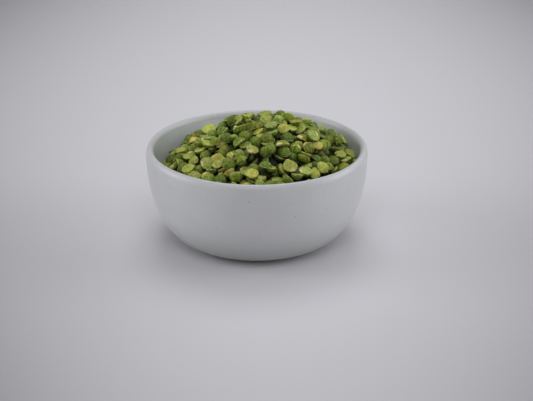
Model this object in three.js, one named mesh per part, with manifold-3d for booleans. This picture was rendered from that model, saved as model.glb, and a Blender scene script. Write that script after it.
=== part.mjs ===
// A small stoneware bowl heaped with dried green split peas.
// Millimetres, +Z up. The origin is the centre of the foot's underside, and -Y is the front.

import * as THREE from "three";
import { mergeVertices } from "three/addons/utils/BufferGeometryUtils.js";
import Module from "manifold-3d";

const wasm = await Module();
wasm.setup();

// Bowl: one turned shape with a rounded lip, a wall that tucks under, and a low foot ring.
const RIM_RADIUS = 50;
const BOWL_HEIGHT = 44.8;
const LIP_THICKNESS = 3.5;
const LIP_RISE = 3; // height over which the wall is rounded off to its top
const FOOT_RADIUS = 28;
const FOOT_WIDTH = 3.5;
const FOOT_HEIGHT = 1.2;
const FOOT_BEVEL = 0.4;
const RECESS_DEPTH = 1; // how far the underside inside the foot ring is lifted
const BELLY_REACH = 13; // how far the underside runs out nearly level before it turns up
const BELLY_LIFT = 0.6; // how far it rises over that reach
const BELLY_RISE = 24; // height over which the outside comes back to upright
const FLOOR_HEIGHT = 4.6; // top of the floor inside
const FLOOR_RADIUS = 20; // the flat of the floor
const CORNER_INSET = 8.5; // how far in from the lip the floor stops being level
const INSIDE_RISE = 23; // height over which the inside comes back to upright
const INSIDE_DRAFT = 0.3; // how much narrower it is where it is upright than at the lip
const BOWL_SEGMENTS = 48;
const WALL_STEPS = 8;
const LIP_STEPS = 6;

// Heap: a cone with a well rounded top, a little higher on the right, that drops off at the wall.
const HEAP_PEAK = 13.2; // over the top of the rim
const HEAP_SLOPE = 0.6; // rise over run of the flank, near what dry split peas can hold
const HEAP_ROUNDING = 17; // radius over which the top is rounded off
const LEAN_RIGHT = 0.075; // extra rise for each millimetre towards +X
const LEAN_BACK = 0.02; // and for each millimetre towards +Y
const EDGE_DROP = 4.5; // how far the heap falls away where it meets the wall
const EDGE_POWER = 12; // how suddenly it does so
const CORE_DEPTH = 1.5; // the core's surface lies this far under the heap's mean surface
const CORE_SEGMENTS = 20;
const CORE_RINGS = 4;
const CORE_OVERREACH = 5; // how far the cutting dome passes the rim
const BOWL_CLEARANCE = 0.3;

// Peas: half globes a little flatter than a true hemisphere.
const PEA_COUNT = 228;
const PEA_DIAMETER = 6.5;
const DIAMETER_SPREAD = 0.75;
const THICKNESS_SHARE = 0.48; // thickness over diameter
const THICKNESS_SPREAD = 0.1;
const OVALITY = 0.14; // the most that one pea is longer than it is wide, as a share
const PEA_SIDES = 7;
const SHOULDER_RADIUS = 0.76; // the ring half way up the round side, as shares of radius
const SHOULDER_HEIGHT = 0.64; // and thickness
const STANDS_PROUD = 1.2; // how far its highest point lies over the heap's mean surface
const PROUD_SPREAD = 0.4;
const BROKEN_SHARE = 0.12; // peas that lie as a broken part
const BREAK_OFFSET = -0.2; // where the break crosses, as a share of the radius
const LYING_SHARE = 0.58; // peas that lie nearly flat, with either side up
const LYING_LEAN = 0.6; // the most that such a pea leans, in radians
const STEEP_LEAN = [0.88, 1.73]; // the range for the others, up to on edge
const WANDER = 0.5; // how far a pea may lie off its place in the spiral
const WALL_INSET = 2; // how far in from the lip the outermost peas are centred
const GOLDEN_ANGLE = Math.PI * (3 - Math.sqrt(5));
const SEED = 20417;

const GLAZE = { color: 0xc3c6c9, roughness: 0.4, metalness: 0 };
const PEA_SKIN = { color: 0x7d8a45, roughness: 0.7, metalness: 0 };
const WELD = 1e-4; // corners nearer than this are one corner

// A repeatable stream of numbers from 0 to 1, by the mulberry method.
function randomStream(seed) {
  let state = seed >>> 0;
  return () => {
    state = (state + 0x6d2b79f5) >>> 0;
    let mixed = Math.imul(state ^ (state >>> 15), 1 | state);
    mixed = (mixed + Math.imul(mixed ^ (mixed >>> 7), 61 | mixed)) ^ mixed;
    return ((mixed ^ (mixed >>> 14)) >>> 0) / 2 ** 32;
  };
}

const point = (radius, height) => new THREE.Vector2(radius, height);

const LIP_BASE = BOWL_HEIGHT - LIP_RISE; // where the rounding of the lip starts
const INNER_RADIUS = RIM_RADIUS - LIP_THICKNESS;

// The wall's outside, from where the underside leaves the foot up to the lip.
const outerWall = new THREE.CubicBezierCurve(
  point(FOOT_RADIUS, FOOT_HEIGHT),
  point(FOOT_RADIUS + BELLY_REACH, FOOT_HEIGHT + BELLY_LIFT),
  point(RIM_RADIUS, LIP_BASE - BELLY_RISE),
  point(RIM_RADIUS, LIP_BASE),
).getPoints(WALL_STEPS);

// The wall's inside, from the flat of the floor up to the lip.
const innerWall = new THREE.CubicBezierCurve(
  point(FLOOR_RADIUS, FLOOR_HEIGHT),
  point(INNER_RADIUS - CORNER_INSET, FLOOR_HEIGHT),
  point(INNER_RADIUS - INSIDE_DRAFT, LIP_BASE - INSIDE_RISE),
  point(INNER_RADIUS, LIP_BASE),
).getPoints(WALL_STEPS);

// The inside radius at a height. The wall is faceted, and a facet's middle is nearer than its corners.
const flatOverCorner = Math.cos(Math.PI / BOWL_SEGMENTS);
function innerRadiusAt(height) {
  const above = innerWall.findIndex((p) => p.y >= height);
  if (above === 0) return innerWall[0].x * flatOverCorner;
  if (above === -1) return INNER_RADIUS * flatOverCorner;
  const [low, high] = [innerWall[above - 1], innerWall[above]];
  return THREE.MathUtils.mapLinear(height, low.y, high.y, low.x, high.x) * flatOverCorner;
}

// Turns a profile, given from its lower pole to its upper one, into a closed surface about Z.
function turned(profile, segments) {
  const lathe = new THREE.LatheGeometry(profile, segments);
  lathe.deleteAttribute("normal");
  lathe.deleteAttribute("uv");
  return mergeVertices(lathe.rotateX(Math.PI / 2), WELD);
}

function bowlGeometry() {
  const lipRadius = LIP_THICKNESS / 2;
  const lip = new THREE.EllipseCurve(
    RIM_RADIUS - lipRadius,
    LIP_BASE,
    lipRadius,
    LIP_RISE,
    0,
    Math.PI,
  );
  const footInside = FOOT_RADIUS - FOOT_WIDTH;
  const profile = [
    point(0, RECESS_DEPTH),
    point(footInside - FOOT_BEVEL, RECESS_DEPTH),
    point(footInside, 0),
    point(FOOT_RADIUS - FOOT_BEVEL, 0),
    ...outerWall,
    ...lip.getPoints(LIP_STEPS).slice(1, -1),
    ...innerWall.toReversed(),
    point(0, FLOOR_HEIGHT),
  ];
  return turned(profile, BOWL_SEGMENTS);
}

// The heap's mean surface.
function heapHeight(x, y) {
  const run = Math.hypot(x, y, HEAP_ROUNDING) - HEAP_ROUNDING;
  const drop = EDGE_DROP * (Math.hypot(x, y) / INNER_RADIUS) ** EDGE_POWER;
  return BOWL_HEIGHT + HEAP_PEAK - HEAP_SLOPE * run + LEAN_RIGHT * x + LEAN_BACK * y - drop;
}

// The way the surface faces, taken over the width of a pea.
function heapNormal(x, y) {
  const step = PEA_DIAMETER / 2;
  const riseX = (heapHeight(x + step, y) - heapHeight(x - step, y)) / (2 * step);
  const riseY = (heapHeight(x, y + step) - heapHeight(x, y - step)) / (2 * step);
  return new THREE.Vector3(-riseX, -riseY, 1).normalize();
}

// A closed mesh as a solid that can be joined and cut, without triangles that have shrunk to a line.
function solidOf(geometry) {
  const merged = mergeVertices(geometry, WELD);
  const index = merged.index.array;
  const corners = [];
  for (let i = 0; i < index.length; i += 3) {
    const [a, b, c] = [index[i], index[i + 1], index[i + 2]];
    if (a !== b && b !== c && c !== a) corners.push(a, b, c);
  }
  return new wasm.Manifold(
    new wasm.Mesh({
      numProp: 3,
      vertProperties: new Float32Array(merged.attributes.position.array),
      triVerts: new Uint32Array(corners),
    }),
  );
}

function geometryOf(solid) {
  const mesh = solid.getMesh();
  const geometry = new THREE.BufferGeometry();
  geometry.setAttribute("position", new THREE.BufferAttribute(mesh.vertProperties, 3));
  geometry.setIndex(new THREE.BufferAttribute(mesh.triVerts, 1));
  geometry.computeVertexNormals();
  return geometry;
}

// What the bowl's inside could hold, as high as the heap's peak.
function filling() {
  const top = BOWL_HEIGHT + HEAP_PEAK;
  const side = innerWall.map((p) => point(p.x - BOWL_CLEARANCE, p.y + BOWL_CLEARANCE));
  const profile = [
    point(0, FLOOR_HEIGHT + BOWL_CLEARANCE),
    ...side,
    point(side.at(-1).x, top),
    point(0, top),
  ];
  return solidOf(turned(profile, CORE_SEGMENTS));
}

// The core: that filling, cut off a little under the heap's surface, by a dome that stays level
// past the wall. Its rings have like areas between them, so they are closest where it drops off.
function coreSolid() {
  const outside = RIM_RADIUS + CORE_OVERREACH;
  const shares = [...Array(CORE_RINGS).keys()].map((ring) => Math.sqrt(1 - ring / CORE_RINGS));
  const rings = shares.map((share) => point(INNER_RADIUS * share, 1));
  const profile = [point(0, 0), point(outside, 0), point(outside, 1), ...rings, point(0, 1)];
  const dome = turned(profile, CORE_SEGMENTS);
  const place = dome.attributes.position;
  for (let i = 0; i < place.count; i += 1) {
    const [x, y] = [place.getX(i), place.getY(i)];
    const inward = Math.min(1, INNER_RADIUS / Math.hypot(x, y));
    if (place.getZ(i) > 0) place.setZ(i, heapHeight(x * inward, y * inward) - CORE_DEPTH);
  }
  return filling().intersect(solidOf(dome));
}

// A split pea of radius 1 and thickness 1, centred on its half thickness, flat side down.
const peaProfile = [
  point(0, -0.5),
  point(1, -0.5),
  point(SHOULDER_RADIUS, SHOULDER_HEIGHT - 0.5),
  point(0, 0.5),
];
const wholePea = solidOf(turned(peaProfile, PEA_SIDES));
const brokenPea = wholePea.trimByPlane([1, 0, 0], BREAK_OFFSET);

// Moves a placed pea towards the bowl's axis until every corner is clear of the wall.
function pulledOffWall(pea) {
  const hair = 0.01;
  const { numProp, numVert, vertProperties } = pea.getMesh();
  let reach = 0;
  let outward = [0, 0];
  for (let i = 0; i < numVert; i += 1) {
    const [x, y, z] = vertProperties.subarray(i * numProp, i * numProp + 3);
    const radius = Math.hypot(x, y);
    const past = radius - (innerRadiusAt(z) - BOWL_CLEARANCE);
    if (past > reach) {
      reach = past;
      outward = [x / radius, y / radius];
    }
  }
  if (reach === 0) return pea;
  const [shiftX, shiftY] = outward.map((share) => -share * (reach + hair));
  return pulledOffWall(pea.translate([shiftX, shiftY, 0]));
}

// One pea of the heap's surface: where it lies, how it is turned, and whether it is broken.
function placedPea(rank, random) {
  const within = (least, most) => least + (most - least) * random();
  const about = (middle, spread) => within(middle - spread, middle + spread);

  const outward = (INNER_RADIUS - WALL_INSET) * Math.sqrt((rank + 0.5) / PEA_COUNT);
  const x = about(outward * Math.cos(rank * GOLDEN_ANGLE), WANDER);
  const y = about(outward * Math.sin(rank * GOLDEN_ANGLE), WANDER);

  const diameter = about(PEA_DIAMETER, DIAMETER_SPREAD);
  const width = diameter * within(1 - OVALITY, 1);
  const thickness = diameter * THICKNESS_SHARE * about(1, THICKNESS_SPREAD);
  const size = new THREE.Vector3(diameter / 2, width / 2, thickness);

  const lean = random() < LYING_SHARE ? within(0, LYING_LEAN) : within(...STEEP_LEAN);
  const turnOver = random() < 0.5 ? Math.PI : 0;
  const heading = within(0, 2 * Math.PI);
  const spin = within(0, 2 * Math.PI);
  const up = new THREE.Vector3(0, 0, 1);
  const normal = heapNormal(x, y);
  const turn = new THREE.Quaternion()
    .setFromUnitVectors(up, normal)
    .multiply(new THREE.Quaternion().setFromEuler(new THREE.Euler(lean + turnOver, 0, heading, "ZXY")))
    .multiply(new THREE.Quaternion().setFromAxisAngle(up, spin));

  const halfHeight = (Math.cos(lean) * thickness + Math.sin(lean) * diameter) / 2;
  const depth = halfHeight - STANDS_PROUD * about(1, PROUD_SPREAD);
  const centre = new THREE.Vector3(x, y, heapHeight(x, y)).addScaledVector(normal, -depth);
  const place = new THREE.Matrix4().compose(centre, turn, size);
  const kind = random() < BROKEN_SHARE ? brokenPea : wholePea;
  return pulledOffWall(kind.transform(place.elements));
}

// The core with its top peas fused on, as one closed body: the largest shell that the joining leaves.
function heapGeometry() {
  const random = randomStream(SEED);
  const peas = [...Array(PEA_COUNT).keys()].map((rank) => placedPea(rank, random));
  const joined = wasm.Manifold.union([coreSolid(), ...peas]);
  const shells = joined.decompose().sort((a, b) => b.volume() - a.volume());
  return geometryOf(shells[0]);
}

function part(name, geometry, finish) {
  const mesh = new THREE.Mesh(geometry, new THREE.MeshStandardMaterial(finish));
  mesh.name = name;
  return mesh;
}

const dish = new THREE.Group();
dish.add(part("bowl", bowlGeometry(), GLAZE));
dish.add(part("split_peas", heapGeometry(), PEA_SKIN));

export default dish;
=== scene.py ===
# %% [markdown]
# # A bowl of green split peas
# The object is a small stoneware bowl, 100 mm across, heaped with dried green split peas.
# The packed model gives the bowl and the heap as two plain solids. This notebook gives each of them
# its looks: a turned bowl with a speckled satin glaze, and a heap made of loose peas that are
# dropped and left to settle, so that they lie on each other as peas do.

# %% Load the frame
import math

import bpy
import numpy as np
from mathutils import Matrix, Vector


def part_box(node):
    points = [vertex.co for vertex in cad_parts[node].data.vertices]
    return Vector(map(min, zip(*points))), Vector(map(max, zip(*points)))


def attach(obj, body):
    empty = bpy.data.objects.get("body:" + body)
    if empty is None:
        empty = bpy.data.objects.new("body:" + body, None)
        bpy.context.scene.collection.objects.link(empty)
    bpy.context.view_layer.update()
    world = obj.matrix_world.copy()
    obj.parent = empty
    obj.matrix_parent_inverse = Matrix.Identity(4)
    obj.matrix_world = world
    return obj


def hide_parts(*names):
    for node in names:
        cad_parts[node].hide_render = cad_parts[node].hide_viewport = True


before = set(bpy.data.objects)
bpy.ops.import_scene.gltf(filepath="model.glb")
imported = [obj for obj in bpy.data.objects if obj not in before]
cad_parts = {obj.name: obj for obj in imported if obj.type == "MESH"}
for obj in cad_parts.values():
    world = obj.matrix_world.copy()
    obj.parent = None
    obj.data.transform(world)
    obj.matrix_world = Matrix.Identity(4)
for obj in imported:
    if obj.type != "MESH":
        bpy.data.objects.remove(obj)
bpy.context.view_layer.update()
bowl_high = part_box("bowl")[1]
heap_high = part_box("split_peas")[1]

# %% [markdown]
# ## Sizes
# All sizes come from the frame where it holds them, and else from the real bowl and peas. They are
# in metres. The heap's surface is a cone with a well rounded top, a little higher on the right.
# Both the loose peas and the hidden core below them are measured from that one surface.

# %% Sizes of the bowl
MM = 0.001
RIM_RADIUS = bowl_high.x
BOWL_HEIGHT = bowl_high.z
LIP_THICKNESS = 3.5 * MM
LIP_RISE = 3 * MM  # the height over which the wall is rounded off to its top
INNER_RADIUS = RIM_RADIUS - LIP_THICKNESS
LIP_BASE = BOWL_HEIGHT - LIP_RISE
FOOT_RADIUS = 28 * MM
FOOT_WIDTH = 3.5 * MM
FOOT_HEIGHT = 1.2 * MM
FLOOR_HEIGHT = 4.6 * MM  # the inside's flat middle
print("Bowl:", round(2 * RIM_RADIUS / MM), "mm across,", round(BOWL_HEIGHT / MM, 1), "mm high")

# %% The heap's surface
HEAP_PEAK = 13.2 * MM
HEAP_SLOPE = 0.6
HEAP_ROUNDING = 17 * MM
LEAN_RIGHT = 0.075
LEAN_BACK = 0.02
EDGE_DROP = 4.5 * MM
EDGE_POWER = 12


def heap_height(x, y):
    """The heap's mean surface: the rim's height and the peak, less the slope times the rounded
    distance from the axis, with a slight lean and a drop where it meets the wall."""
    run = np.sqrt(x**2 + y**2 + HEAP_ROUNDING**2) - HEAP_ROUNDING
    drop = EDGE_DROP * (np.hypot(x, y) / INNER_RADIUS) ** EDGE_POWER
    return BOWL_HEIGHT + HEAP_PEAK - HEAP_SLOPE * run + LEAN_RIGHT * x + LEAN_BACK * y - drop


print("Heap stands", round((heap_high.z - BOWL_HEIGHT) / MM, 1), "mm over the rim")

# %% [markdown]
# ## Camera
# The photograph looks down on the bowl at about 21 degrees, from far enough away that the far rim
# is hardly smaller than the near one. The camera stands on a line that meets the middle of the rim
# at that angle, and is turned a little so that the rim's middle falls where it does in the photo.
# It could be aimed by eye, but four measured numbers are easier to check.

# %% Camera
IMAGE_WIDTH, IMAGE_HEIGHT = 533, 401
RIM_MIDDLE_PIXEL = (256.9, 151.2)
RIM_WIDTH_PIXELS = 221.2
ELEVATION = math.radians(20.7)
DISTANCE = 0.9
SENSOR = 36  # millimetres, as Blender counts lenses

focal_pixels = RIM_WIDTH_PIXELS / (2 * RIM_RADIUS) * DISTANCE
right_of_middle = (RIM_MIDDLE_PIXEL[0] - IMAGE_WIDTH / 2) / focal_pixels
above_middle = (IMAGE_HEIGHT / 2 - RIM_MIDDLE_PIXEL[1]) / focal_pixels
pitch = ELEVATION + math.atan(above_middle)
yaw = math.asin(right_of_middle / math.cos(ELEVATION))

eye = bpy.data.objects.new("eye", bpy.data.cameras.new("eye"))
bpy.context.scene.collection.objects.link(eye)
eye.data.sensor_width = SENSOR
eye.data.lens = focal_pixels * SENSOR / IMAGE_WIDTH
eye.location = (0, -DISTANCE * math.cos(ELEVATION), LIP_BASE + DISTANCE * math.sin(ELEVATION))
eye.rotation_euler = (math.pi / 2 - pitch, 0, yaw)
bpy.context.scene.camera = eye
print("Lens", round(eye.data.lens, 1), "mm")

# %% [markdown]
# ## From arrays to pieces
# Every shape here is worked out as whole arrays of points. Three helpers turn them into Blender's
# meshes: one builds a piece from points and faces, one lists the faces of a grid that closes on
# itself one way round, and one turns a profile about the bowl's axis.

# %% A piece from arrays
def add_piece(name, points, faces, material=None, sharp_angle=None, **attributes):
    """A smooth mesh object at the origin, with its edges past the sharp angle kept crisp.
    attributes are one number for each point."""
    mesh = bpy.data.meshes.new(name)
    mesh.from_pydata(np.asarray(points).tolist(), [], faces)
    for key, values in attributes.items():
        layer = mesh.attributes.new(key, "FLOAT", "POINT")
        layer.data.foreach_set("value", np.asarray(values, np.float32))
    mesh.shade_smooth()
    if sharp_angle is not None:
        mesh.set_sharp_from_angle(angle=sharp_angle)
    if material is not None:
        mesh.materials.append(material)
    made = bpy.data.objects.new(name, mesh)
    bpy.context.scene.collection.objects.link(made)
    return made


# %% Faces of a turned grid
def ring_faces(rings, around, closed_ends=True):
    """Faces of a grid of rings, point ring * around + step, that joins up around. With closed ends
    the two points after the grid are poles, and triangles close the first and the last ring."""
    ring, step = np.meshgrid(np.arange(rings - 1), np.arange(around), indexing="ij")
    here = ring * around + step
    beside = ring * around + (step + 1) % around
    quads = np.stack([here, beside, beside + around, here + around], -1).reshape(-1, 4).tolist()
    if not closed_ends:
        return quads
    turn = np.arange(around)
    onward = (turn + 1) % around
    first, last = rings * around, rings * around + 1
    top = (rings - 1) * around
    start = np.stack([onward, turn, np.full(around, first)], -1).tolist()
    end = np.stack([top + turn, top + onward, np.full(around, last)], -1).tolist()
    return quads + start + end


def circled(radius, height, around):
    """Points of rings: each radius times the cosine and the sine of equal angles, at its height."""
    angle = 2 * np.pi * np.arange(around) / around
    x, y = radius[:, None] * np.cos(angle), radius[:, None] * np.sin(angle)
    return np.stack([x, y, np.repeat(height[:, None], around, 1)], -1).reshape(-1, 3)


def turned(profile, around):
    """Points and faces of a profile of (radius, height) turned about Z. Its first and last points
    are the poles, and it runs from the lower pole, outwards and up."""
    radius, height = np.array(profile[1:-1]).T
    poles = [(0, 0, profile[0][1]), (0, 0, profile[-1][1])]
    return np.vstack([circled(radius, height, around), poles]), ring_faces(len(radius), around)


print("Three rings of 8 points close with", len(ring_faces(3, 8)), "faces")

# %% [markdown]
# ## Finishes as expressions
# A finish is a tree of shader nodes. It could be wired by hand in the node editor. Written as sums
# in Python it reads like the thought behind it: a Wire is one output of a node, and the usual
# signs on wires add Math nodes.

# %% Wires
class Wire:
    """An output socket that Python's signs work on."""

    def __init__(self, finish, socket):
        self.finish = finish
        self.socket = socket

    def maths(self, operation, first, second):
        return self.finish.node("Math", {"operation": operation}, {0: first, 1: second})

    def __add__(self, other):
        return self.maths("ADD", self, other)

    def __radd__(self, other):
        return self.maths("ADD", other, self)

    def __sub__(self, other):
        return self.maths("SUBTRACT", self, other)

    def __rsub__(self, other):
        return self.maths("SUBTRACT", other, self)

    def __mul__(self, other):
        return self.maths("MULTIPLY", self, other)

    def __rmul__(self, other):
        return self.maths("MULTIPLY", other, self)


print("Signs on a Wire:", [name for name in vars(Wire) if name.endswith(("add__", "sub__", "mul__"))])


# %% Finishes
class Finish:
    """A material's node tree. node() adds any node: its settings first, then its inputs."""

    def __init__(self, name):
        self.material = bpy.data.materials.new(name)
        self.material.use_nodes = True
        self.tree = self.material.node_tree
        self.tree.nodes.clear()
        self.place = self.node("TexCoord", {}, {}, "Object")

    def node(self, kind, settings, inputs, output=0):
        made = self.tree.nodes.new("ShaderNode" + kind)
        for key, value in settings.items():
            setattr(made, key, value)
        for key, value in inputs.items():
            if isinstance(value, Wire):
                self.tree.links.new(value.socket, made.inputs[key])
            else:
                made.inputs[key].default_value = value
        return Wire(self, made.outputs[output])

    def attribute(self, name):
        """A number that the mesh holds for each point."""
        return self.node("Attribute", {"attribute_name": name}, {}, "Fac")

    def along(self, axis):
        """The place's X, Y or Z in metres."""
        return self.node("SeparateXYZ", {}, {"Vector": self.place}, axis)

    def noise(self, size, detail=2.0, roughness=0.5):
        """Cloudy noise from 0 to 1 whose blobs are about that size in metres."""
        inputs = {"Vector": self.place, "Scale": 1 / size, "Detail": detail, "Roughness": roughness}
        return self.node("TexNoise", {}, inputs, "Fac")

    def ramp(self, value, low, high):
        """0 below low and 1 above high, or the other way round, with a smooth rise between."""
        inputs = {"Value": value, "From Min": low, "From Max": high}
        return self.node("MapRange", {"interpolation_type": "SMOOTHSTEP"}, inputs)

    def mix(self, share, first, second):
        """The first colour where share is 0 and the second where it is 1."""
        return self.node("Mix", {"data_type": "RGBA"}, {0: share, 6: first, 7: second}, 2)

    def tint(self, colour, amount):
        """The colour times a number."""
        return self.node("VectorMath", {"operation": "SCALE"}, {0: colour, "Scale": amount})

    def bump(self, height, depth):
        """A bump whose height runs from 0 to 1 over that depth in metres."""
        return self.node("Bump", {}, {"Height": height, "Distance": depth}, "Normal")

    def surface(self, **sockets):
        """The closing Principled shader. A socket's name has _ for its spaces."""
        named = {key.replace("_", " "): value for key, value in sockets.items()}
        shader = self.node("BsdfPrincipled", {}, named)
        end = self.tree.nodes.new("ShaderNodeOutputMaterial")
        self.tree.links.new(shader.socket, end.inputs["Surface"])
        return self.material


def paint(red, green, blue):
    """A colour as 0 to 255 on a screen, turned into the linear light that shaders reckon in: the
    screen's curve is a short straight stretch and then a power of 2.4."""
    screen = np.array([red, green, blue]) / 255
    linear = np.where(screen <= 0.04045, screen / 12.92, ((screen + 0.055) / 1.055) ** 2.4)
    return (*linear.tolist(), 1.0)


print("Half grey on a screen is", round(paint(128, 128, 128)[0], 3), "of white's light")

# %% [markdown]
# ## The glaze
# The bowl has a satin stoneware glaze: pale grey with a cool cast and a sparse freckling of tiny
# iron specks that came through in the kiln. It ran off the lip, where it lies thin. Towards the foot
# it is darkened by painted shade, and inside it is made paler by painted light. The foot ring is
# bare clay, wiped clean so that it didn't stick to the shelf. The specks could be painted on, but a
# cell pattern scatters points through space, and a speck shows wherever the surface passes near
# enough to one, so that none of them is stretched.

# %% Glaze colours
GLAZE_PALE = paint(200, 201, 203)
GLAZE_DEEP = paint(189, 190, 192)
# painted shade, darker towards the foot
GLAZE_FOOT_SHADE = paint(156, 160, 153)
GLAZE_LIP = paint(182, 184, 189)
# painted light: the paler glaze inside
GLAZE_INSIDE_LIGHT = paint(206, 210, 217)
SPECK = paint(112, 104, 96)
BARE_CLAY = paint(176, 164, 146)
BARE_BELOW = 0.7 * MM
BARE_BLUR = 0.2 * MM
SPECK_SPACING, SPECK_SIZE = 3.4 * MM, 0.34 * MM
FAINT_SPACING, FAINT_SIZE = 1.7 * MM, 0.22 * MM
GLAZE_RIPPLE = 0.06 * MM
print("Specks are up to", round(SPECK_SIZE / MM, 2), "mm, and faint ones", round(FAINT_SIZE / MM, 2))


# %% Glaze
def speck_mask(finish, spacing, size):
    """1 inside specks scattered with that spacing. The distance to the nearest cell's point, less
    a reach that is the cell's own random number times the size, is below 0 in a speck."""
    inputs = {"Vector": finish.place, "Scale": 1 / spacing}
    near = finish.node("TexVoronoi", {}, inputs, "Distance")
    which = finish.node("TexVoronoi", {}, inputs, "Color")
    luck = finish.node("SeparateColor", {}, {"Color": which}, "Red")
    reach = luck * (size / spacing)
    return finish.ramp(near - reach, 0.03, -0.03)


def glaze_material():
    """A cloudy grey, mixed towards painted shade near the foot, the thin lip colour, painted light
    inside and the speck colours where they show.
    """
    finish = Finish("speckled_glaze")
    height = finish.along("Z")
    bare = finish.ramp(height, BARE_BELOW, BARE_BELOW - BARE_BLUR)
    cloud = finish.noise(14 * MM, 3)
    glazed = finish.mix(cloud, GLAZE_DEEP, GLAZE_PALE)
    # painted shade: darker towards the foot
    glazed = finish.mix(finish.ramp(height, 0.5 * BOWL_HEIGHT, 0) * 0.75, glazed, GLAZE_FOOT_SHADE)
    glazed = finish.mix(finish.ramp(height, LIP_BASE, BOWL_HEIGHT) * 0.8, glazed, GLAZE_LIP)
    # painted light: paler inside the bowl
    glazed = finish.mix(finish.attribute("inside"), glazed, GLAZE_INSIDE_LIGHT)
    glazed = finish.mix(speck_mask(finish, SPECK_SPACING, SPECK_SIZE) * 0.5, glazed, SPECK)
    glazed = finish.mix(speck_mask(finish, FAINT_SPACING, FAINT_SIZE) * 0.35, glazed, SPECK)
    grain = finish.noise(0.5 * MM, 2)
    ripple = finish.noise(4 * MM, 2)
    return finish.surface(
        Base_Color=finish.mix(bare, glazed, BARE_CLAY),
        Roughness=0.36 + bare * 0.45 + grain * 0.06,
        Normal=finish.bump(ripple + grain * 0.15, GLAZE_RIPPLE),
    )


glaze = glaze_material()
print("Glaze:", len(glaze.node_tree.nodes), "nodes")

# %% [markdown]
# ## The bowl
# A bowl is thrown on a wheel, so its whole form is one profile turned about the axis. The outside
# and the inside are each one smooth curve, joined over the lip by half an ellipse. It could be
# turned with a Screw modifier, but as arrays every ring is known and the lip can get the slight
# waver of a hand-finished rim. A number at each point says whether it lies inside, where painted
# light makes the glaze paler.

# %% The wall's curves
BELLY_REACH = 13 * MM
BELLY_LIFT = 0.6 * MM
BELLY_RISE = 24 * MM
FLOOR_RADIUS = 20 * MM
CORNER_INSET = 8.5 * MM
INSIDE_RISE = 23 * MM
INSIDE_DRAFT = 0.3 * MM


def cubic_curve(corners, count):
    """Points of a curve from the first of four corners to the last that leans towards the two
    between: each corner is weighted by the terms of (1 - t + t) cubed, multiplied out."""
    t = np.linspace(0, 1, count)[:, None]
    a, b, c, d = np.array(corners)
    return a * (1 - t) ** 3 + 3 * b * t * (1 - t) ** 2 + 3 * c * t**2 * (1 - t) + d * t**3


def inner_wall(count, clearance=0.0):
    """The inside from the flat of the floor up to the lip, or that much inside of it."""
    corners = [
        (FLOOR_RADIUS, FLOOR_HEIGHT),
        (INNER_RADIUS - CORNER_INSET, FLOOR_HEIGHT),
        (INNER_RADIUS - INSIDE_DRAFT, LIP_BASE - INSIDE_RISE),
        (INNER_RADIUS, LIP_BASE),
    ]
    return cubic_curve(corners, count) + np.array([-clearance, clearance])


def outer_wall(count):
    """The outside from the top of the foot, round the belly, up to the lip."""
    corners = [
        (FOOT_RADIUS, FOOT_HEIGHT),
        (FOOT_RADIUS + BELLY_REACH, FOOT_HEIGHT + BELLY_LIFT),
        (RIM_RADIUS, LIP_BASE - BELLY_RISE),
        (RIM_RADIUS, LIP_BASE),
    ]
    return cubic_curve(corners, count)


print("Inside is", round(2 * inner_wall(3)[1, 0] / MM, 1), "mm across halfway up its curve")

# %% The whole profile
WALL_POINTS = 44
LIP_POINTS = 18
RECESS_DEPTH = 1 * MM
FOOT_BEVEL = 0.4 * MM
FOOT_ROUND = 0.1 * MM


def lip_arch():
    """Half an ellipse over the lip, without its ends, which the two walls give."""
    angle = np.linspace(0, np.pi, LIP_POINTS)[1:-1]
    half = LIP_THICKNESS / 2
    across = RIM_RADIUS - half + half * np.cos(angle)
    return np.stack([across, LIP_BASE + LIP_RISE * np.sin(angle)], -1)


def foot_section():
    """The recess under the bowl and the foot ring, with its edges taken off, from the middle out."""
    inside = FOOT_RADIUS - FOOT_WIDTH
    return [
        (0, RECESS_DEPTH),
        (inside / 2, RECESS_DEPTH),
        (inside - 2 * FOOT_BEVEL, RECESS_DEPTH),
        (inside - FOOT_BEVEL, RECESS_DEPTH - FOOT_ROUND),
        (inside, FOOT_ROUND),
        (inside + FOOT_BEVEL, 0),
        (FOOT_RADIUS - FOOT_BEVEL, 0),
        (FOOT_RADIUS - FOOT_ROUND, 2.5 * FOOT_ROUND),
        (FOOT_RADIUS - FOOT_ROUND / 2, FOOT_HEIGHT - 2 * FOOT_ROUND),
    ]


def bowl_profile():
    """The profile from the middle of the underside, over the lip, to the middle of the floor, and
    how many of its rings lie outside."""
    outside = np.vstack([foot_section(), outer_wall(WALL_POINTS), lip_arch()])
    floor = [(FLOOR_RADIUS / 2, FLOOR_HEIGHT), (0, FLOOR_HEIGHT)]
    inside = np.vstack([inner_wall(WALL_POINTS)[::-1], floor])
    return np.vstack([outside, inside]), len(outside) - 1


profile, outer_rings = bowl_profile()
print("Profile:", len(profile), "points,", outer_rings, "rings of them outside")

# %% Turn the bowl
AROUND = 160
LIP_WAVER = 0.12 * MM


def wavered(points):
    """Moves points near the lip up and down by two slow waves around the rim, and never over the
    height that the bowl has."""
    angle = np.arctan2(points[:, 1], points[:, 0])
    near_lip = np.clip((points[:, 2] / BOWL_HEIGHT - 0.6) / 0.4, 0, 1) ** 2
    wave = np.sin(2 * angle + 0.7) + 0.6 * np.sin(5 * angle + 2.0)
    moved = points.copy()
    moved[:, 2] += LIP_WAVER * near_lip * (wave - 1.6)
    return moved


points, faces = turned(profile, AROUND)
# marks the inside, where painted light makes the glaze paler
inside = (np.arange(len(points)) >= outer_rings * AROUND) * 1.0
inside[-2] = 0  # the pole under the foot
bowl = add_piece("stoneware_bowl", wavered(points), faces, glaze, inside=inside)
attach(bowl, "root")
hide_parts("bowl")
print("Bowl:", len(points), "points and", len(faces), "faces")

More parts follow.
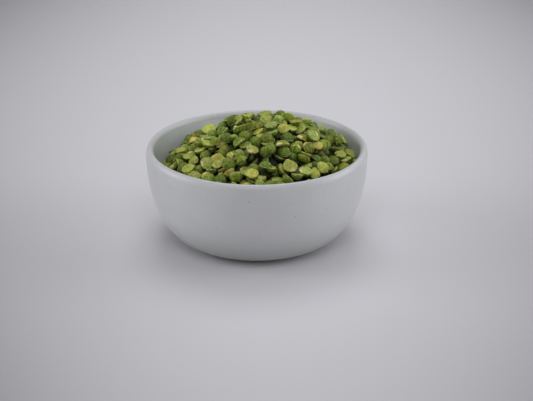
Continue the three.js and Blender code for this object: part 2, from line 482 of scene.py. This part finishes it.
# %% [markdown]
# ## One split pea
# A pea splits into two halves, each a flat disc with a rounded back: about 6.5 mm across and
# 3 mm thick. It could be half a sphere that is pressed flat. Its outline isn't a true circle
# though, because peas press on each other in the pod, so each kind has slow waves in its radius,
# perhaps a flattened side, and lumps on its back. A broken one is cut off along one or two
# straight lines. All are made of a few rings, because hundreds of them will lie in the heap.

# %% Kinds of pea
PEA_DIAMETER = 6.5 * MM
THICKNESS_SHARE = 0.48
SHAPE_SEED = 7
WHOLE_KINDS = 12
BROKEN_KINDS = 10
OUTLINE_WAVE = 0.04
SECOND_CUT_TURN = (1.4, 2.6)
WHOLE_CUTS = (0.84, 1.2)
BROKEN_CUTS = ((0.0, 0.2), (0.6, 1.0))  # the least reach of the first and second, and the most


def pea_kinds():
    """For each kind, its waves' sizes and phases, its cuts' reaches and turns, and its lumps'
    phases. A cut whose reach is past the pea leaves it whole."""
    random = np.random.default_rng(SHAPE_SEED)
    kinds = []
    for number in range(WHOLE_KINDS + BROKEN_KINDS):
        waves = random.uniform(0.0, OUTLINE_WAVE, 3)
        phases = random.uniform(0, 2 * np.pi, 3)
        turn = random.uniform(0, 2 * np.pi)
        turns = (turn, turn + random.uniform(*SECOND_CUT_TURN))
        whole_cuts = random.uniform(*WHOLE_CUTS, 2)
        broken_cuts = random.uniform(*BROKEN_CUTS)
        cuts = whole_cuts if number < WHOLE_KINDS else broken_cuts
        kinds.append((waves, phases, cuts, turns, random.uniform(0, 2 * np.pi, 2)))
    return kinds


KINDS = pea_kinds()
print(len(KINDS), "kinds of pea,", BROKEN_KINDS, "of them broken")

# %% A pea's points
RINGS = np.array([(0.93, 0.0), (1.0, 0.08), (0.94, 0.33), (0.77, 0.63), (0.47, 0.88)])
HULL_RINGS = np.array([(0.97, 0.0), (0.97, 0.22), (0.72, 0.68)])
PEA_STEPS = 12
HULL_STEPS = 10
MIDDLE = 0.42  # the height, as a share of the thickness, that a pea turns about
LUMP = 0.05
DISH = 0.05  # how far the flat side's middle is raised or sunk


def pea_points(kind, rings, steps):
    """A pea of radius 1 and thickness 1, flat side down: each ring's radius times the outline,
    1 plus waves of 2, 3 and 4 to the turn, held inside the cuts, and the two poles. The lumps
    make the back uneven, by a wave of 3 to the turn that twists from ring to ring."""
    waves, phases, cuts, turns, lumps = kind
    angle = 2 * np.pi * np.arange(steps) / steps
    counts = np.array([2, 3, 4])
    outline = 1 + (waves[:, None] * np.cos(counts[:, None] * angle + phases[:, None])).sum(0)
    radius = rings[:, :1] * outline
    lump = LUMP * rings[:, 1:] * np.cos(3 * angle + lumps[0] + 4 * rings[:, 1:])
    radius = radius * (1 + lump)
    for cut, turn in zip(cuts, turns):
        towards = np.cos(angle - turn)
        limit = np.where(towards > 0.05, cut / np.maximum(towards, 0.05), np.inf)
        radius = np.minimum(radius, limit)
    x = radius * np.cos(angle)
    y = radius * np.sin(angle)
    z = rings[:, 1:] * (1 + LUMP * np.cos(2 * angle + lumps[1])) - MIDDLE
    grid = np.stack([x, y, z], -1).reshape(-1, 3)
    middle = grid.mean(0) * [1, 1, 0]
    dish = DISH * math.cos(lumps[0])
    poles = [middle + [0, 0, dish - MIDDLE], middle + [0, 0, 1 - MIDDLE]]
    return np.vstack([grid, poles])


PEA_FACES = ring_faces(len(RINGS), PEA_STEPS)
print("A pea has", len(PEA_FACES), "faces")

# %% [markdown]
# ## Dropping the peas
# Peas that are placed by a rule look placed. Here they are dropped as rigid bodies instead, one
# layer after another, and settle on each other inside the wall under gravity and friction. Only
# the outer layers of the heap are loose peas, over a hidden core, because no one sees the rest.
# The solver reckons best with bodies about a metre wide, so the drop is a hundred times as large.

# %% Where a layer starts
SHELL_DEPTH = 9.5 * MM
LAYERS = 5
LAYER_COUNT = 138
LAYER_RADIUS = 39.5 * MM
PINCH_COUNT = 36  # a last pinch on the middle, where peas roll off
PINCH_RADIUS = 16 * MM
FIRST_LIFT = 3.6 * MM
LAYER_RISE = 2.1 * MM  # how much one settled layer adds
LAYER_TURN = 1.7
CROWDING = 0.63  # the spiral's power: over a half there are more peas in the middle
GOLDEN_ANGLE = np.pi * (3 - np.sqrt(5))


def layer_places(layer, count, reach):
    """A spiral over the core whose next pea is one golden angle on, and further out by a power of
    its rank. Each layer starts a little higher and turned."""
    rank = np.arange(count)
    out = reach * ((rank + 0.5) / count) ** CROWDING
    angle = rank * GOLDEN_ANGLE + layer * LAYER_TURN
    x, y = out * np.cos(angle), out * np.sin(angle)
    z = heap_height(x, y) - SHELL_DEPTH + FIRST_LIFT + layer * LAYER_RISE
    return np.stack([x, y, z], -1)


print(LAYERS * LAYER_COUNT + PINCH_COUNT, "peas to drop, over", round(SHELL_DEPTH / MM, 1), "mm")

# %% How each pea starts
START_TILT = math.radians(12)
SIZE_RANGE = (0.82, 1.08)  # the peas' diameters, as shares of PEA_DIAMETER
WIDTH_RANGE = (0.9, 1.0)
THICKNESS_RANGE = (0.85, 1.1)
BROKEN_SHARE = 0.2
CRUMB_SHARE = 0.09
CRUMB_SIZE = 0.55


def start_turns(count, random):
    """Each pea first turns about its own axis and then tips over by its tilt, and half of them are
    upside down. Both turns are multiplied out into one quaternion."""
    tilt = random.normal(0, START_TILT, count) + np.pi * random.integers(0, 2, count)
    heading, spin = random.uniform(0, 2 * np.pi, (2, count))
    upright, tipped = np.cos(tilt / 2), np.sin(tilt / 2)
    return np.stack([upright * np.cos(spin / 2), tipped * np.cos(heading - spin / 2),
                     tipped * np.sin(heading - spin / 2), upright * np.sin(spin / 2)], -1)


def start_sizes(count, random):
    """Each pea's radius, half width and thickness, and its kind. Crumbs are small broken peas."""
    radius = PEA_DIAMETER / 2 * random.uniform(*SIZE_RANGE, count)
    width = radius * random.uniform(*WIDTH_RANGE, count)
    thickness = 2 * radius * THICKNESS_SHARE * random.uniform(*THICKNESS_RANGE, count)
    broken = random.random(count) < BROKEN_SHARE
    crumb = broken & (random.random(count) < CRUMB_SHARE / BROKEN_SHARE)
    whole_kind = random.integers(0, WHOLE_KINDS, count)
    broken_kind = random.integers(WHOLE_KINDS, WHOLE_KINDS + BROKEN_KINDS, count)
    size = np.stack([radius, width, thickness], -1) * np.where(crumb, CRUMB_SIZE, 1.0)[:, None]
    return size, np.where(broken, broken_kind, whole_kind)


print("Peas are", [round(share * PEA_DIAMETER / MM, 1) for share in SIZE_RANGE], "mm across")

# %% [markdown]
# ## What holds the drop
# The peas land on the core's top and are held in by the bowl's inside. Both are plain meshes that
# only the drop sees. The core has bumps of a pea's size, which keep the first layer from sliding
# as it would on a smooth cone, and it is a little higher in the middle, where peas roll away.

# %% Fence and bed
DROP_SCALE = 100
FENCE_RISE = 50 * MM
FENCE_STEPS = 48
BED_STEPS = 64
CORE_BUMP = 0.5 * MM
CORE_PEAK = 1.5 * MM
CORE_PEAK_WIDTH = 14 * MM


def core_height(x, y):
    """The core's top: the heap's surface less the loose shell, with a rounded peak in the middle
    and bumps that are a sine each way."""
    inward = np.minimum(1, INNER_RADIUS / np.maximum(np.hypot(x, y), MM))
    wave = 2 * np.pi / PEA_DIAMETER
    bumps = CORE_BUMP * np.sin(wave * x + 1) * np.sin(wave * y + 2)
    peak = CORE_PEAK * np.exp(-(x**2 + y**2) / CORE_PEAK_WIDTH**2)
    return heap_height(x * inward, y * inward) - SHELL_DEPTH + peak + bumps


def drop_fence():
    """The inside of the wall, carried straight up so that no pea can leave."""
    wall = np.vstack([inner_wall(12)[4:], [(INNER_RADIUS, BOWL_HEIGHT + FENCE_RISE)]])
    points = circled(wall[:, 0], wall[:, 1], FENCE_STEPS)
    faces = ring_faces(len(wall), FENCE_STEPS, closed_ends=False)
    return add_piece("drop_fence", points * DROP_SCALE, faces)


def drop_bed():
    """The core's top as a square grid."""
    line = np.linspace(-RIM_RADIUS, RIM_RADIUS, BED_STEPS)
    x, y = np.meshgrid(line, line, indexing="ij")
    points = np.stack([x, y, core_height(x, y)], -1).reshape(-1, 3)
    first = np.arange(BED_STEPS - 1)
    row, column = np.meshgrid(first, first, indexing="ij")
    here = (row * BED_STEPS + column).ravel()
    faces = np.stack([here, here + BED_STEPS, here + BED_STEPS + 1, here + 1], -1).tolist()
    return add_piece("drop_bed", points * DROP_SCALE, faces)


print("Core's top is", round(float(core_height(0.0, 0.0)) / MM, 1), "mm up in the middle")

# %% [markdown]
# ## Bodies that fall
# Blender's rigid bodies are objects in a world of their own. Each pea's body is a plain hull, a
# tenth smaller than the pea, so that the peas seen in the render lie close with no gap between.
# The world is built anew for each layer, and each pea is then left where it lies.

# %% Settling
CLOSENESS = 0.9
PEA_FRICTION = 1.2
BED_FRICTION = 1.0
FENCE_FRICTION = 0.4
BODY_SETTINGS = {
    "restitution": 0,
    "use_margin": True,
    "collision_margin": 0.006,
    "linear_damping": 0.25,
    "angular_damping": 0.4,
    "deactivate_linear_velocity": 0.05,
    "deactivate_angular_velocity": 0.1,
}
SUBSTEPS = 6
SOLVER_ITERATIONS = 10


def add_bodies(objects, kind, shape, friction):
    """Makes the objects rigid bodies, all alike."""
    for other in bpy.context.selected_objects:
        other.select_set(False)
    for made in objects:
        made.select_set(True)
    bpy.context.view_layer.objects.active = objects[0]
    bpy.ops.rigidbody.objects_add(type=kind)
    for made in objects:
        made.rigid_body.collision_shape = shape
        made.rigid_body.friction = friction
        for key, value in BODY_SETTINGS.items():
            setattr(made.rigid_body, key, value)


def settle(peas, bed, fence, frames):
    """Lets the peas fall for that many frames, leaves each where it then lies and gives
    their matrices."""
    scene = bpy.context.scene
    bpy.ops.rigidbody.world_add()
    world = scene.rigidbody_world
    world.substeps_per_frame = SUBSTEPS
    world.solver_iterations = SOLVER_ITERATIONS
    world.point_cache.frame_start = 1
    world.point_cache.frame_end = frames
    add_bodies([bed], "PASSIVE", "MESH", BED_FRICTION)
    add_bodies([fence], "PASSIVE", "MESH", FENCE_FRICTION)
    add_bodies(peas, "ACTIVE", "CONVEX_HULL", PEA_FRICTION)
    for number in range(1, frames + 1):
        scene.frame_set(number)
    lying = [pea.matrix_world.copy() for pea in peas]
    bpy.ops.rigidbody.world_remove()
    scene.frame_set(1)
    for pea, matrix in zip(peas, lying):
        pea.matrix_world = matrix
    return np.array(lying)


print("Each frame is reckoned in", SUBSTEPS, "steps")

# %% [markdown]
# ## Tapping the bowl
# Peas that are poured into a bowl lie flat once it has been tapped or carried. A shaken bowl could
# be simulated too, but that takes long. Here each pea is laid flatter at once, where it is, and
# then all of them settle again.

# %% Tapping
TAP_SHARE = 1.2


def tap(peas):
    """Lays every pea flatter: its axis turns the short way to the sum of itself and a vertical of
    the length TAP_SHARE, up or down, whichever is nearer."""
    for pea in peas:
        axis = pea.matrix_world.to_3x3().col[2].normalized()
        flatter = axis + Vector((0, 0, math.copysign(TAP_SHARE, axis.z)))
        place = pea.location.copy()
        pea.rotation_quaternion = axis.rotation_difference(flatter) @ pea.rotation_quaternion
        pea.location = place


# %% The drop
DROP_SEED = 11
LAYER_FRAMES = 16
TAPS = 2
TAP_FRAMES = 22


def drop_hulls():
    """A mesh of few faces for each kind of pea, which its body takes its hull from."""
    hulls = []
    for number, kind in enumerate(KINDS):
        hull = bpy.data.meshes.new(f"drop_hull_{number}")
        points = pea_points(kind, HULL_RINGS, HULL_STEPS).tolist()
        hull.from_pydata(points, [], ring_faces(len(HULL_RINGS), HULL_STEPS))
        hulls.append(hull)
    return hulls


def hung_up(places, turns, sizes, meshes):
    """An object for each pea of a layer, where it starts."""
    peas = []
    for place, turn, size, mesh in zip(places, turns, sizes, meshes):
        pea = bpy.data.objects.new("drop_pea", mesh)
        bpy.context.scene.collection.objects.link(pea)
        pea.rotation_mode = "QUATERNION"
        pea.rotation_quaternion = turn
        pea.location = place * DROP_SCALE
        pea.scale = size * CLOSENESS * DROP_SCALE
        peas.append(pea)
    return peas


def drop():
    """Runs the drop and gives each pea's kind, its place, and its axes times its size."""
    hulls = drop_hulls()
    bed, fence = drop_bed(), drop_fence()
    random = np.random.default_rng(DROP_SEED)
    peas, kinds = [], []
    layers = [(LAYER_COUNT, LAYER_RADIUS)] * LAYERS + [(PINCH_COUNT, PINCH_RADIUS)]
    for layer, (count, reach) in enumerate(layers):
        turns = start_turns(count, random)
        sizes, layer_kinds = start_sizes(count, random)
        meshes = [hulls[kind] for kind in layer_kinds]
        peas += hung_up(layer_places(layer, count, reach), turns, sizes, meshes)
        kinds += layer_kinds.tolist()
        matrices = settle(peas, bed, fence, LAYER_FRAMES)
    for _ in range(TAPS):
        tap(peas)
        matrices = settle(peas, bed, fence, TAP_FRAMES)
    for made in [*peas, bed, fence]:
        bpy.data.objects.remove(made)
    for hull in hulls:
        bpy.data.meshes.remove(hull)
    axes = matrices[:, :3, :3] / (DROP_SCALE * CLOSENESS)
    return np.array(kinds), matrices[:, :3, 3] / DROP_SCALE, axes


kinds, places, axes = drop()
print(len(kinds), "peas settled, the highest", round(places[:, 2].max() / MM, 1), "mm up")

# %% [markdown]
# ## Smoothing the heap over
# A few peas end up on edge or on top of the rest. A cook's hand would brush them off, and so they
# are picked off here, with a lower limit near the wall. The middle is raised a little again,
# because peas roll off it.

# %% Picking off
MIDDLE_LIFT = 0.6 * MM
MIDDLE_WIDTH = 11 * MM
PROUD_LIMIT = 2.2 * MM
EDGE_LIMIT = 1.8 * MM  # how much less of that is left at the wall
EDGE_LIMIT_POWER = 10


def highest_point(kind, place, axis):
    """How far a pea's highest corner stands over the heap's surface, counted higher at the wall
    by a steep power of the distance from the axis."""
    corners = pea_points(KINDS[kind], HULL_RINGS, HULL_STEPS) @ axis.T + place
    out = np.hypot(corners[:, 0], corners[:, 1]) / INNER_RADIUS
    over = corners[:, 2] - heap_height(corners[:, 0], corners[:, 1])
    return (over + EDGE_LIMIT * out**EDGE_LIMIT_POWER).max()


places[:, 2] += MIDDLE_LIFT * np.exp(-(places[:, :2] ** 2).sum(1) / MIDDLE_WIDTH**2)
proud = np.array([highest_point(*pea) for pea in zip(kinds, places, axes)])
lying = proud < PROUD_LIMIT
kinds, places, axes = kinds[lying], places[lying], axes[lying]
print(len(proud) - len(places), "that stood up were picked off, and", len(places), "are left")

# %% [markdown]
# ## How a split pea is coloured
# The round back of a half is a deep green, a little blue where the pea was fresh and olive where it
# has aged. The flat side is paler, stippled with light pores, and its rim is a thin pale line, partly
# the pea's own edge and partly a painted highlight. Many have a cream scar at one side, where the
# halves hung together, and a broken one is rough and pale where it broke. Dry peas also bleach: a few
# are yellow or tan all over. Shade is painted in as well: darker in the creases of the skin, and near
# black where a point lies deep between its neighbours. One material per colour would look sorted, so
# all of that is a number from 0 to 1 at every point, which one finish turns into colours.

# %% Pea colours
BACK_FRESH = paint(95, 121, 22)
BACK_AGED = paint(136, 144, 22)
BACK_PALE = paint(170, 186, 100)
FACE_FRESH = paint(149, 169, 58)
FACE_AGED = paint(181, 181, 56)
# the rim's pale line: partly the pea's own edge, partly a painted highlight
RIM_PALE_AND_HIGHLIGHT = paint(202, 204, 134)
PORE_PALE = paint(212, 214, 170)
# painted shade that falls in the creases of the skin
CREASE_SHADE = paint(44, 66, 2)
SCAR_CREAM = paint(228, 210, 152)
BREAK_PALE = paint(200, 194, 104)
BLEACHED = paint(200, 182, 92)
# painted shade: the near black a point takes as it lies deep between the peas
SHADE_BLACK = paint(8, 16, 0)  # down between the peas
CLOUD_SIZE = 1.9 * MM
PORE_SIZE = 0.85 * MM
CREASE_SIZE = 1.1 * MM
SKIN_RELIEF = 0.4 * MM


def pea_material():
    """The back and the face are each mixed from a fresh and an aged green, with painted shade in the
    creases and pale stipples from noise. The rim line with its painted highlight, breaks, scars,
    bleaching and the painted shade of depth in the heap are then laid over them."""
    finish = Finish("split_pea")
    names = ("flat", "rim", "torn", "scar", "tone", "shade", "bleach", "sunk_shade")
    flat, rim, torn, scar, tone, shade, bleach, sunk_shade = [finish.attribute(name) for name in names]
    cloud = finish.noise(CLOUD_SIZE, 2)
    pores = finish.noise(PORE_SIZE, 3, 0.7)
    creases = finish.noise(CREASE_SIZE, 3, 0.65)
    aged = finish.ramp(tone + cloud, 0.45, 1.6)
    back = finish.mix(aged, BACK_FRESH, BACK_AGED)
    # painted shade in the back's creases
    back = finish.mix(finish.ramp(creases, 0.54, 0.38) * 0.75, back, CREASE_SHADE)
    back = finish.mix(finish.ramp(pores, 0.5, 0.64) * 0.5, back, BACK_PALE)
    face = finish.mix(aged, FACE_FRESH, FACE_AGED)
    face = finish.mix(finish.ramp(pores, 0.48, 0.62) * 0.5, face, PORE_PALE)
    # painted shade in the face's creases
    face = finish.mix(finish.ramp(creases, 0.48, 0.36) * 0.5, face, CREASE_SHADE)
    colour = finish.mix(flat, back, face)
    # a pale rim line, partly the pea's own edge and partly a painted highlight
    edge = finish.ramp(rim, 0.5, 0.95) * finish.ramp(creases, 0.4, 0.56)
    colour = finish.mix(edge * 0.85, colour, RIM_PALE_AND_HIGHLIGHT)
    colour = finish.mix(finish.ramp(torn + pores * 0.4, 0.55, 0.95) * 0.8, colour, BREAK_PALE)
    colour = finish.mix(finish.ramp(scar + creases * 0.8, 0.9, 1.15) * 0.9, colour, SCAR_CREAM)
    colour = finish.mix(bleach * finish.ramp(cloud, 0.1, 0.6), colour, BLEACHED)
    colour = finish.tint(colour, shade)
    # painted shade: darker as a point lies deeper under its neighbours
    colour = finish.mix(sunk_shade, colour, SHADE_BLACK)
    return finish.surface(
        Base_Color=colour,
        Roughness=0.55 + flat * 0.12 + pores * 0.1,
        Specular_IOR_Level=0.32,
        Normal=finish.bump(creases + pores * 0.6, SKIN_RELIEF),
    )


pea_skin = pea_material()
print("Pea skin:", len(pea_skin.node_tree.nodes), "nodes")

# %% [markdown]
# ## Numbers at the points
# Some of the numbers are the same on every pea of a kind: which points are on the flat side, on
# the rim or on a break. Others differ from pea to pea and are drawn at random, from a fixed seed.
# The last, how deep a point is sunk between its neighbours, belongs to the heap: it paints the shade
# that falls between the peas. It could be baked as ambient occlusion, but comparing each point with
# the mean height around it is quick.

# %% Where a pea is flat, rimmed or torn
TORN_BELOW = 0.8  # a cut that reaches further than this hardly shows


def kind_values(kind):
    """For each point of a kind: on the flat side, on the rim, and torn by a cut."""
    _, _, cuts, turns, _ = kind
    height = np.concatenate([np.repeat(RINGS[:, 1], PEA_STEPS), [0.0, 1.0]])
    flat = (height < 0.05) * 1.0
    rim = (np.abs(height - RINGS[1, 1]) < 0.02) * 1.0
    x, y, _ = pea_points(kind, RINGS, PEA_STEPS).T
    torn = np.zeros(len(x))
    for cut, turn in zip(cuts, turns):
        if cut < TORN_BELOW:
            torn = np.maximum(torn, (x * np.cos(turn) + y * np.sin(turn) > cut - 0.02) * 1.0)
    return flat, rim, torn * (1 - flat)


SHAPES = np.array([pea_points(kind, RINGS, PEA_STEPS) for kind in KINDS])
SHAPE_VALUES = np.array([kind_values(kind) for kind in KINDS])
print("Torn points on a broken pea:", round(SHAPE_VALUES[WHOLE_KINDS:, 2].sum(1).mean(), 1))

# %% How each pea looks
SCAR_SHARE = 0.3
SCAR_FROM, SCAR_TO = 0.8, 0.95
TONE_MEAN, TONE_SPREAD = 0.45, 0.38
SHADE_RANGE = (0.72, 1.16)
BLEACH_SHARE = 0.05
BLEACH_RANGE = (0.5, 1.0)


def steps_up(value, low, high):
    """0 below low and 1 above high, straight between."""
    return np.clip((value - low) / (high - low), 0, 1)


def pea_looks(shapes, random):
    """Each pea's scar, a patch of the rim about one turn, and how far it has aged, how light it is
    and how far it is bleached, as one number for each point or pea."""
    count = len(shapes)
    heading = random.uniform(0, 2 * np.pi, (count, 1))
    scarred = random.random((count, 1)) < SCAR_SHARE
    x, y, z = shapes.transpose(2, 0, 1)
    out = np.hypot(x, y)
    towards = (x * np.cos(heading) + y * np.sin(heading)) / np.maximum(out, 0.3)
    scar = steps_up(towards, SCAR_FROM, SCAR_TO) * (out > 0.75) * (z < 0.1) * scarred
    tone = np.clip(random.normal(TONE_MEAN, TONE_SPREAD, (count, 1)), 0, 1)
    shade = random.uniform(*SHADE_RANGE, (count, 1))
    bleached = random.random((count, 1)) < BLEACH_SHARE
    return scar, tone, shade, bleached * random.uniform(*BLEACH_RANGE, (count, 1))


print("About", round(SCAR_SHARE * len(kinds)), "peas have a scar, and", round(BLEACH_SHARE * len(kinds)),
      "are bleached")

# %% How deep a point is sunk, which paints the shade between the peas
NEAR = 1.25 * MM
NEAR_SQUARES = 2
UNDER_THE_HEAP = 4 * MM
SHADE_FULL_DEPTH = 3.4 * MM
SHADE_MOST = 0.94


def surroundings(points):
    """How high the peas stand around each point: the highest point in each square of a coarse
    grid, averaged over that square and the 24 about it."""
    squares = round(2 * RIM_RADIUS / NEAR)
    row, column = ((points[:, :2] + RIM_RADIUS) / NEAR).astype(int).T
    line = (np.arange(squares) + 0.5) * NEAR - RIM_RADIUS
    tops = heap_height(*np.meshgrid(line, line, indexing="ij")) - UNDER_THE_HEAP
    np.maximum.at(tops, (row, column), points[:, 2])
    shifts = range(-NEAR_SQUARES, NEAR_SQUARES + 1)
    mean = sum(np.roll(tops, (i, j), (0, 1)) for i in shifts for j in shifts) / len(shifts) ** 2
    return mean[row, column]


print("A point", round(SHADE_FULL_DEPTH / MM, 1), "mm under its neighbours is as dark as they get")

# %% [markdown]
# ## The loose peas
# Each pea could be an object of its own, but hundreds of them are slow to handle. They are joined
# from arrays instead, as one piece of whole and one of broken peas. A crisp edge is kept where the
# flat side meets the back.

# %% Loose peas
LOOKS_SEED = 3
CRISP = math.radians(48)


def joined_faces(count, each):
    """The faces of that many peas, each pea's point numbers counted on from the one before."""
    corners = np.concatenate(PEA_FACES)
    shifted = (corners + np.arange(count)[:, None] * each).ravel()
    sides = np.tile([len(face) for face in PEA_FACES], count)
    return [face.tolist() for face in np.split(shifted, np.cumsum(sides)[:-1])]


def joined(kinds, places, axes, random):
    """The peas' points and faces as one mesh, with every point's values. A pea's points are its
    kind's points times its axes, at its place. A point gets painted shade as it lies under its
    neighbours."""
    shapes = SHAPES[kinds]
    points = np.einsum("nij,npj->npi", axes, shapes) + places[:, None]
    count, each = points.shape[:2]
    flat, rim, torn = SHAPE_VALUES[kinds].transpose(1, 0, 2)
    scar, tone, shade, bleach = pea_looks(shapes, random)
    around = surroundings(points.reshape(-1, 3)).reshape(count, each)
    # painted shade from how far a point lies under the peas around it
    sunk_shade = steps_up(around - points[..., 2], 0, SHADE_FULL_DEPTH) * SHADE_MOST
    values = dict(flat=flat, rim=rim, torn=torn, scar=scar, tone=tone, shade=shade,
                  bleach=bleach, sunk_shade=sunk_shade)
    spread = {name: np.broadcast_to(value, (count, each)).ravel() for name, value in values.items()}
    return points.reshape(-1, 3), joined_faces(count, each), spread


random = np.random.default_rng(LOOKS_SEED)
is_broken = kinds >= WHOLE_KINDS
for name, chosen in (("whole_peas", ~is_broken), ("broken_peas", is_broken)):
    points, faces, values = joined(kinds[chosen], places[chosen], axes[chosen], random)
    made = add_piece(name, points, faces, pea_skin, CRISP, **values)
    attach(made, "root")
    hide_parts("split_peas")
    print(name, chosen.sum(), "peas,", len(faces), "faces")

# %% [markdown]
# ## The core
# A real bowl is full of peas down to its floor. No one sees the ones below, so a dark core stands
# for them: its top is the bed that the loose peas fell on, and its side follows the bowl's inside.
# It could be left out, but then light would shine through the gaps onto the bowl's floor. Its
# finish is painted shade: the near black and deep green that a gap between peas ends in.

# %% Core
CORE_AROUND = 96
CORE_RINGS = 39
CORE_SIDE_POINTS = 24
CORE_CLEARANCE = 0.3 * MM
CORE_EDGE = 0.5 * MM
CORE_SHOULDER = 4 * MM  # how far under its edge the side begins
# painted shade, with the near black, for the core's colour
SHADE_GREEN = paint(36, 46, 10)


# The core's colour is painted shade, dappled between near black and a deep green.
def core_shade_material():
    finish = Finish("painted_shade_peas")
    dapple = finish.noise(3 * MM, 3)
    return finish.surface(
        Base_Color=finish.mix(dapple, SHADE_BLACK, SHADE_GREEN),
        Roughness=0.8,
        Normal=finish.bump(dapple, 1 * MM),
    )


def core_points():
    """Rings from the top's middle out to the wall, at the core's height there, and then down the
    inside of the bowl, and the two poles. Gives the points and how many rings there are."""
    angle = 2 * np.pi * np.arange(CORE_AROUND) / CORE_AROUND
    share = np.linspace(0, 1, CORE_RINGS + 1)[1:, None]
    x = (INNER_RADIUS - CORE_EDGE) * share * np.cos(angle)
    y = (INNER_RADIUS - CORE_EDGE) * share * np.sin(angle)
    top = np.stack([x, y, core_height(x, y)], -1).reshape(-1, 3)
    side = inner_wall(CORE_SIDE_POINTS, CORE_CLEARANCE)
    side = side[side[:, 1] < core_height(INNER_RADIUS, 0) - CORE_SHOULDER][::-1]
    low = circled(side[:, 0], side[:, 1], CORE_AROUND)
    poles = [(0, 0, float(core_height(0.0, 0.0))), (0, 0, FLOOR_HEIGHT + CORE_CLEARANCE)]
    return np.vstack([top, low, poles]), CORE_RINGS + len(side)


points, rings = core_points()
faces = [face[::-1] for face in ring_faces(rings, CORE_AROUND)]  # it runs from the top down
core = add_piece("pea_core", points, faces, core_shade_material())
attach(core, "root")
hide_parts("split_peas")
print("Core:", len(points), "points and", len(faces), "faces")

# %% [markdown]
# ## The floor
# The bowl stands on a pale, smooth surface that is lightest behind the bowl and falls off towards
# the edges of the picture. A spot of light could do that alone. Here a falloff of light is also
# painted into the surface's colour: it darkens outwards, by the squares of the distances from its
# lightest place.

# %% Floor
FLOOR_PALE = paint(210, 209, 215)
# the floor's painted shade, away from its painted pool of light
FLOOR_PAINTED_DIM = paint(139, 138, 143)
LIGHTEST_X, LIGHTEST_Y = 0.01, 0.2
HALF_FLOOR = 3.0


def floor_falloff_material():
    """Painted light: pale where both distances from the lightest place are small, and the painted dim
    share is 20 x squared times (1 + 8 y squared), plus 2.6 y squared."""
    finish = Finish("floor_painted_falloff")
    x = finish.along("X") - LIGHTEST_X
    y = finish.along("Y") - LIGHTEST_Y
    far = y * y
    # painted falloff of light: darker away from the lightest place
    share = x * x * (far * 8 + 1) * 20 + far * 2.6
    return finish.surface(Base_Color=finish.mix(share, FLOOR_PALE, FLOOR_PAINTED_DIM), Roughness=0.6)


corners = [(-1, -1, 0), (1, -1, 0), (1, 1, 0), (-1, 1, 0)]
floor = add_piece("floor", np.array(corners) * HALF_FLOOR, [(0, 1, 2, 3)], floor_falloff_material())
print("Floor:", 2 * HALF_FLOOR, "m square")

# %% [markdown]
# ## The light
# The photograph is lit softly from both sides and from above, so the bowl's sides are lighter than
# its front. One big lamp would be simpler, but it can't light both sides alike. Large area lights
# stand for the soft boxes, a wide spot from above makes the pool of light on the floor, and a pale
# world fills the shadows.

# %% Light
AIM = (0, 0, 0.02)
SOFTBOXES = {  # the place, the side of the square and the power in watts
    "left_box": ((-1.0, 0.0, 0.3), 0.6, 4.9),
    "right_box": ((1.0, 0.0, 0.3), 0.6, 4.6),
    "right_back_box": ((0.8, 0.6, 0.6), 0.7, 1.5),
    "top_back_box": ((0, 0.5, 1.0), 0.6, 3.2),
    "front_box": ((0, -0.9, 0.9), 0.8, 5.3),
}
POOL_PLACE = (0, 0.05, 0.9)
POOL_SPREAD = math.radians(46)
POOL_SOFTNESS = 0.25
POOL_POWER = 3.0
ROOM_LIGHT = 0.2


def add_light(name, kind, place, power):
    """A lamp at a place, that shines straight down."""
    lamp = bpy.data.objects.new(name, bpy.data.lights.new(name, kind))
    lamp.data.energy = power
    lamp.location = place
    bpy.context.scene.collection.objects.link(lamp)
    return lamp


for name, (place, side, power) in SOFTBOXES.items():
    softbox = add_light(name, "AREA", place, power)
    softbox.data.size = side
    softbox.rotation_euler = (Vector(AIM) - Vector(place)).to_track_quat("-Z", "Y").to_euler()

pool = add_light("pool", "SPOT", POOL_PLACE, POOL_POWER)
pool.data.spot_size = POOL_SPREAD
pool.data.spot_blend = 1.0
pool.data.shadow_soft_size = POOL_SOFTNESS

world = bpy.data.worlds.new("room")
world.use_nodes = True
world.node_tree.nodes["Background"].inputs["Color"].default_value = (1, 1, 1, 1)
world.node_tree.nodes["Background"].inputs["Strength"].default_value = ROOM_LIGHT
bpy.context.scene.world = world
bpy.context.scene.view_settings.view_transform = "Standard"
print(len(SOFTBOXES), "soft boxes and a pool of light")

# %% [markdown]
